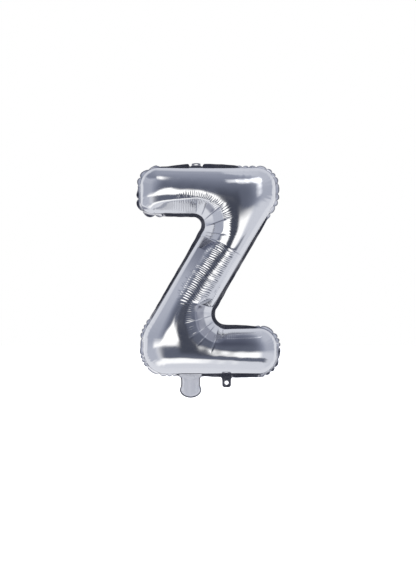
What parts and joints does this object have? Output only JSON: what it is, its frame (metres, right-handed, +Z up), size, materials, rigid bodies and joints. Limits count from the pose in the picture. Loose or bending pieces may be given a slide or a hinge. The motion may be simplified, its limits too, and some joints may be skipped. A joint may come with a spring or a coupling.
{
  "type": "letter foil balloon",
  "caption": "Silver foil balloon shaped as the letter Z, with a sealed crinkled border, a filling tail and a punched hanging tab at top and bottom.",
  "frame": {"origin": "hanging point: middle of the top tab's fold line, in the plane of the seam between the two films", "axes": "+X to the right as the letter is read, +Y away from the reader, +Z up"},
  "size_m": [0.2161, 0.0772, 0.3527],
  "materials": {
    "silver_foil": "mirror-bright metallised film",
    "sealed_border": "metallised film, heat sealed, slightly dull",
    "tail_foil": "metallised film, satin",
    "valve_film": "thin clear film"
  },
  "bodies": {
    "balloon": {"front_foil": "silver_foil", "back_foil": "silver_foil", "sealed_rim": "sealed_border"},
    "top_tab": {"top_hanging_tab": "sealed_border"},
    "bottom_tab": {"bottom_hanging_tab": "sealed_border"},
    "tail": {"tail_front_film": "tail_foil", "valve_film": "valve_film", "tail_back_film": "tail_foil"}
  },
  "joints": [
    {"name": "top_tab_fold", "type": "hinge", "parent": "balloon", "child": "top_tab", "pos_m": [0, 0, 0], "axis": [1, 0, 0], "range_deg": [-12, 148], "stiffness_Nm_per_rad": 0.0003},
    {"name": "bottom_tab_fold", "type": "hinge", "parent": "balloon", "child": "bottom_tab", "pos_m": [0.0458, 0, -0.3161], "axis": [1, 0, 0], "range_deg": [-100, 100], "stiffness_Nm_per_rad": 0.0003},
    {"name": "tail_fold", "type": "hinge", "parent": "balloon", "child": "tail", "pos_m": [-0.0082, 0, -0.3161], "axis": [1, 0, 0], "range_deg": [-110, 110], "stiffness_Nm_per_rad": 0.0008}
  ]
}
